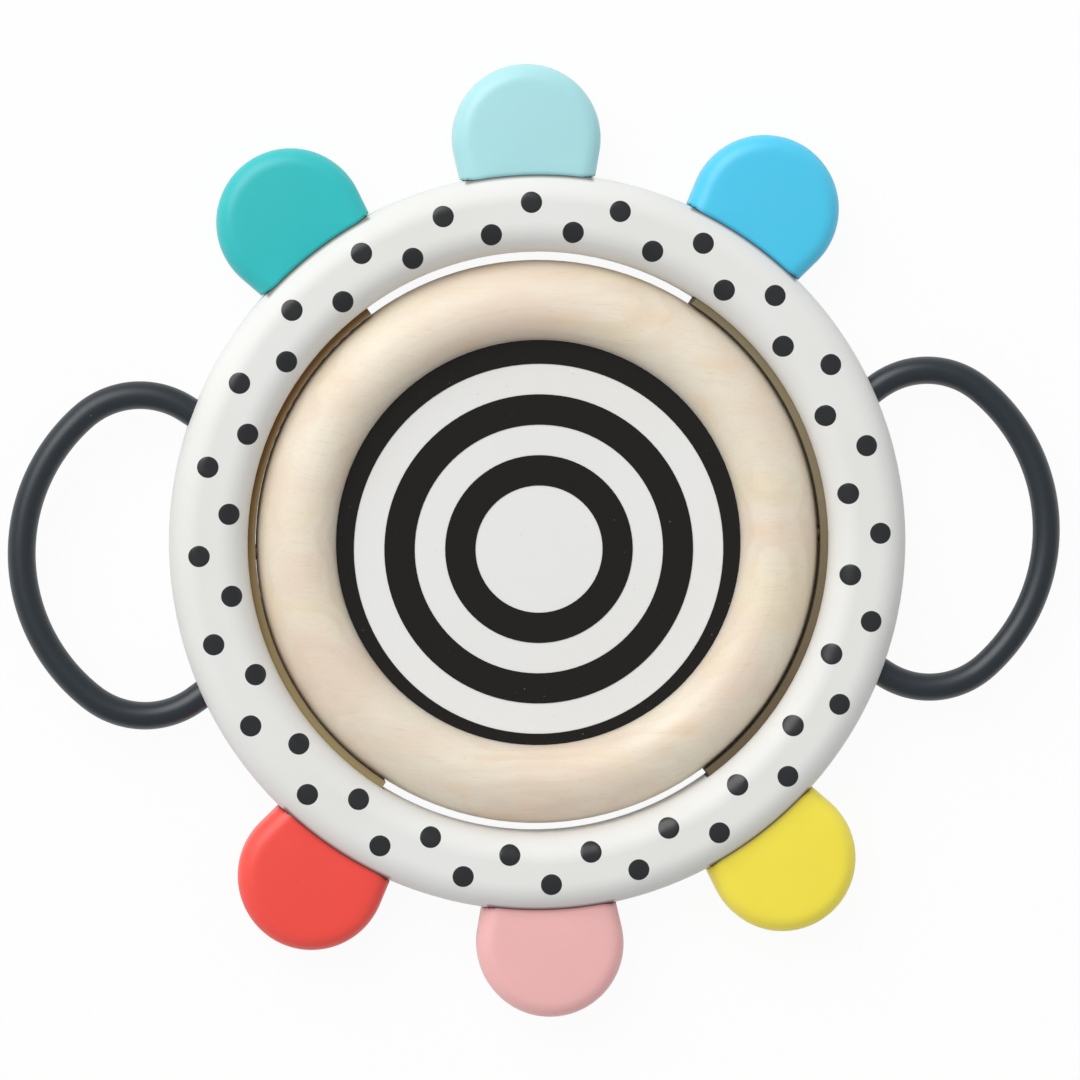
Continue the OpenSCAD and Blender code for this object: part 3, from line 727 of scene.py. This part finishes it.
def makePaleWood():
    finish, tree, shader, inMm = newFinish("paleWood", {
        "Specular IOR Level": wood["specular"], "Subsurface Weight": wood["soft"],
        "Subsurface Radius": wood["softRadius"], "Subsurface Scale": wood["softReach"] * mm})
    board = addNode(tree, "ShaderNodeMapping", {"Vector": inMm, "Rotation": wood["lean"]}).outputs[0]
    drift = addNode(tree, "ShaderNodeTexNoise", {"Vector": board, "Scale": wood["driftScale"], "Detail": 2.0})
    wander = addNode(tree, "ShaderNodeVectorMath",
        {0: drift.outputs["Color"], 1: wood["drift"], 2: board}, operation="MULTIPLY_ADD")
    spot = splitXyz(tree, wander.outputs[0])
    fibre = grainNoise(tree, spot, **wood["fibre"])
    hair = grainNoise(tree, spot, **wood["hair"])
    # year lines about the pith, which come and go
    dy, dz = spot[1] - wood["pith"][0], spot[2] - wood["pith"][1]
    years = (dy * dy + dz * dz).calc("SQRT") / wood["ringSpacing"]
    year = (years + grainNoise(tree, spot, **wood["yearWander"]) * wood["yearWaves"]).calc("FRACT")
    late = year.ramp(*wood["lateRise"]) * (1.0 - year.ramp(*wood["lateFall"]))
    figured = grainNoise(tree, spot, **wood["figured"]).ramp(*wood["figuredLimits"])
    fleck = grainNoise(tree, spot, **wood["flecks"]).ramp(*wood["fleckLimits"])
    tone = wood["cream"]
    for colour, share, limits, noise in wood["patches"]:
        tone = blendColour(tree, grainNoise(tree, spot, **noise).ramp(*limits) * share, tone, colour)
    lateSpread, lateLeast = wood["lateShow"]
    tone = blendColour(tree, late * (figured * lateSpread + lateLeast), tone, wood["late"])
    tone = blendColour(tree, fibre.ramp(*wood["fibreLimits"]) * wood["fibreShow"], tone, wood["late"])
    tone = blendColour(tree, hair.ramp(*wood["hairLimits"]) * wood["hairShow"], tone, wood["late"])
    tone = blendColour(tree, fleck * wood["fleckShow"], tone, wood["fleck"])
    height = splitXyz(tree, inMm)[2]
    offGlue = (height - ring["midHeight"]).calc("ABSOLUTE")
    glue = 1.0 - offGlue.ramp(*wood["glueFade"])  # the line where the halves meet
    tone = blendColour(tree, glue * wood["glueShow"], tone, wood["fleck"])
    feed(tree, shader.inputs["Base Color"], tone)
    feed(tree, shader.inputs["Roughness"], fibre * wood["roughnessSpread"] + wood["roughness"])
    fibreBump, hairBump, glueBump = wood["bumpShares"]
    addBump(tree, shader, fibre * fibreBump + hair * hairBump - glue * glueBump, wood["bumpDepth"])
    return finish


paleWood = makePaleWood()
for half in ("front_wood_ring", "rear_wood_ring"):
    nodes[half].data.materials[0] = paleWood
print("wood: grain on both halves")


# Bullseye disc, its print, the mirror behind it and the pins

disc = {
    "white": (paint(235, 235, 234), paint(232, 231, 228)), "whiteSpecular": 0.4,
    "black": (paint(26, 24, 22), paint(26, 24, 22)), "blackSpecular": 0.25,
    "skin": {"Wave": 0.06, "Grit": 5.0, "Grit share": 0.15}, "driftShow": 0.6, "roughnessSpread": 0.05,
    "specks": {"Spacing": 1.6, "Speck": 0.14, "Share": 0.16}, "speckTone": paint(150, 152, 154),
    "speckShow": 0.5, "speckRougher": 0.4,
    "marks": {"Length": 16.0, "Gap": 1.1, "Width": 0.012}, "markRougher": 0.2, "markDepth": 0.1,
    "roughness": 0.16, "bumpDepth": 0.02}
mirror = {
    "silver": (paint(232, 236, 238), paint(226, 231, 235)), "driftShow": 0.5,
    "skin": {"Wave": 0.05, "Grit": 4.0, "Grit share": 0.02},
    "specks": {"Spacing": 1.8, "Speck": 0.12, "Share": 0.14}, "speckTone": paint(190, 192, 194),
    "speckShow": 0.3, "speckRougher": 0.3,
    "marks": {"Length": 18.0, "Gap": 1.3, "Width": 0.01}, "markRougher": 0.12,
    "roughness": 0.035, "bumpDepth": 0.03}
pins = {
    "steel": (paint(112, 104, 92), paint(92, 86, 76)),  # darkened by oil
    "drawn": {"along": 0.2, "across": 9.0, "detail": 3.0},
    "roughness": 0.22, "roughnessSpread": 0.2, "bumpDepth": 0.006}


def makePrint(name, tones, specular):
    finish, tree, shader, inMm = newFinish(name, {"Specular IOR Level": specular})
    skin = useGroup(tree, mouldedSkin, inMm, disc["skin"])
    specks = useGroup(tree, dustSpecks, inMm, disc["specks"])
    marks = useGroup(tree, hairlines, inMm, disc["marks"])
    tone = blendColour(tree, skin["Drift"] * disc["driftShow"], *tones)
    tone = blendColour(tree, specks["Mask"] * disc["speckShow"], tone, disc["speckTone"])
    feed(tree, shader.inputs["Base Color"], tone)
    spread = skin["Drift"] * disc["roughnessSpread"] + marks["Mask"] * disc["markRougher"]
    spread = spread + specks["Mask"] * disc["speckRougher"]
    feed(tree, shader.inputs["Roughness"], spread + disc["roughness"])
    addBump(tree, shader, skin["Height"] - marks["Mask"] * disc["markDepth"], disc["bumpDepth"])
    return finish


def makeMirrorFace():
    finish, tree, shader, inMm = newFinish("mirrorFace", {"Metallic": 1.0})
    skin = useGroup(tree, mouldedSkin, inMm, mirror["skin"])
    specks = useGroup(tree, dustSpecks, inMm, mirror["specks"])
    marks = useGroup(tree, hairlines, inMm, mirror["marks"])
    tone = blendColour(tree, skin["Drift"] * mirror["driftShow"], *mirror["silver"])
    tone = blendColour(tree, specks["Mask"] * mirror["speckShow"], tone, mirror["speckTone"])
    feed(tree, shader.inputs["Base Color"], tone)
    spread = marks["Mask"] * mirror["markRougher"] + specks["Mask"] * mirror["speckRougher"]
    feed(tree, shader.inputs["Roughness"], spread + mirror["roughness"])
    addBump(tree, shader, skin["Height"], mirror["bumpDepth"])
    return finish


def makePinSteel():
    finish, tree, shader, inMm = newFinish("pinSteel", {"Metallic": 1.0})
    drawn = grainNoise(tree, splitXyz(tree, inMm), **pins["drawn"])
    feed(tree, shader.inputs["Base Color"], blendColour(tree, drawn, *pins["steel"]))
    feed(tree, shader.inputs["Roughness"], drawn * pins["roughnessSpread"] + pins["roughness"])
    addBump(tree, shader, drawn, pins["bumpDepth"])
    return finish


nodes["bullseye_disc"].data.materials[0] = makePrint("printWhite", disc["white"], disc["whiteSpecular"])
nodes["bullseye_bands"].data.materials[0] = makePrint("printBlack", disc["black"], disc["blackSpecular"])
nodes["mirror_disc"].data.materials[0] = makeMirrorFace()
pinSteel = makePinSteel()
for pin in ("left_pivot_pin", "right_pivot_pin"):
    nodes[pin].data.materials[0] = pinSteel
print("centre: print, mirror and pins finished")


# Floor, light and camera

studio = {
    "floorRadius": 8.0, "floorSegments": 96, "floorShow": 0.94, "floorGrey": 0.85, "floorRoughness": 0.9,
    "floorSpecular": 0.1, "horizon": (0.25, 0.78), "zenith": 0.52, "fall": 3.0,
    "brightTowards": 110.0, "brightFade": (-0.65, -0.25), "skyTint": (0.985, 0.993, 1.0, 1.0),
    "lamps": (("keyLamp", (-1.336, 1.816, 2.272), 2.9, 76.5, (1.0, 0.99, 0.975)),)}


def backgroundShare(tree):  # camera, glossy and transmission rays see the plain background
    path = addNode(tree, "ShaderNodeLightPath")
    rays = [Wire(tree, path.outputs[n]) for n in ("Is Camera Ray", "Is Glossy Ray", "Is Transmission Ray")]
    return (rays[0] + rays[1] + rays[2]).held()


def buildFloor():
    work = bmesh.new()
    bmesh.ops.create_circle(
        work, cap_ends=True, radius=studio["floorRadius"], segments=studio["floorSegments"])
    mesh = bpy.data.meshes.new("floor")
    work.to_mesh(mesh)
    work.free()
    floor = bpy.data.objects.new("floor", mesh)
    bpy.context.scene.collection.objects.link(floor)
    paper = bpy.data.materials.new("floorPaper")
    paper.use_nodes = True
    tree = paper.node_tree
    shader = tree.nodes["Principled BSDF"]
    shader.inputs["Base Color"].default_value = (studio["floorGrey"],) * 3 + (1.0,)
    shader.inputs["Roughness"].default_value = studio["floorRoughness"]
    shader.inputs["Specular IOR Level"].default_value = studio["floorSpecular"]
    glow = addNode(tree, "ShaderNodeEmission", {"Color": (1.0, 1.0, 1.0, 1.0), "Strength": 1.0})
    mixed = addNode(tree, "ShaderNodeMixShader",
        {0: backgroundShare(tree) * studio["floorShow"], 1: shader.outputs[0], 2: glow.outputs[0]})
    feed(tree, tree.nodes["Material Output"].inputs["Surface"], mixed.outputs[0])
    mesh.materials.append(paper)


def hangLamps():
    for name, place, size, power, tint in studio["lamps"]:
        lamp = bpy.data.lights.new(name, "AREA")
        lamp.shape = "DISK"
        lamp.size = size
        lamp.energy = power
        lamp.color = tint
        holder = bpy.data.objects.new(name, lamp)
        holder.location = place
        holder.rotation_euler = (Vector((0, 0, 0)) - Vector(place)).to_track_quat("-Z", "Y").to_euler()
        bpy.context.scene.collection.objects.link(holder)


def buildSky():
    world = bpy.data.worlds.new("studioWorld")
    bpy.context.scene.world = world
    world.use_nodes = True
    tree = world.node_tree
    tree.nodes.clear()
    x, y, z = splitXyz(tree, addNode(tree, "ShaderNodeTexCoord").outputs["Generated"])
    rise = z.held()  # 0 at the horizon, 1 overhead
    bright = math.radians(studio["brightTowards"])  # the room is brighter behind the lamp than in front of it
    towards = x * math.cos(bright) + y * math.sin(bright)
    low = towards.ramp(*studio["brightFade"], *studio["horizon"])
    strength = (1.0 - rise) ** studio["fall"] * (low - studio["zenith"]) + studio["zenith"]
    sky = addNode(tree, "ShaderNodeBackground", {"Color": studio["skyTint"], "Strength": strength})
    addNode(tree, "ShaderNodeOutputWorld", {"Surface": sky.outputs[0]})


buildFloor()
hangLamps()
buildSky()
print("studio: floor, lamps and world")

view = {
    "distance": 0.9, "frameWidth": 0.1834, "sensor": 36.0, "clip": (0.05, 50.0),
    "tilt": 5.7, "tiltTowards": 143.0, "roll": 1.68,  # degrees
    "pixel": 0.00017, "shiftRight": 2.06, "shiftUp": 2.27}


def placeCamera():
    data = bpy.data.cameras.new("photoCamera")
    data.sensor_width = view["sensor"]
    data.lens = view["sensor"] * view["distance"] / view["frameWidth"]
    data.clip_start, data.clip_end = view["clip"]
    tilt, towards, roll = (math.radians(view[k]) for k in ("tilt", "tiltTowards", "roll"))
    back = Vector((math.sin(tilt) * math.cos(towards), math.sin(tilt) * math.sin(towards), math.cos(tilt)))
    up = Vector((math.sin(roll), math.cos(roll), 0))
    up = (up - back * up.dot(back)).normalized()
    right = up.cross(back)
    shift = right * view["shiftRight"] * view["pixel"] + up * view["shiftUp"] * view["pixel"]
    aim = Vector((0, 0, ring["midHeight"] * mm)) + shift
    camera = bpy.data.objects.new("photoCamera", data)
    turn = Matrix((right, up, back)).transposed()
    camera.matrix_world = Matrix.Translation(aim + back * view["distance"]) @ turn.to_4x4()
    bpy.context.scene.collection.objects.link(camera)
    bpy.context.scene.camera = camera


placeCamera()
bpy.context.scene.view_settings.view_transform = "Standard"
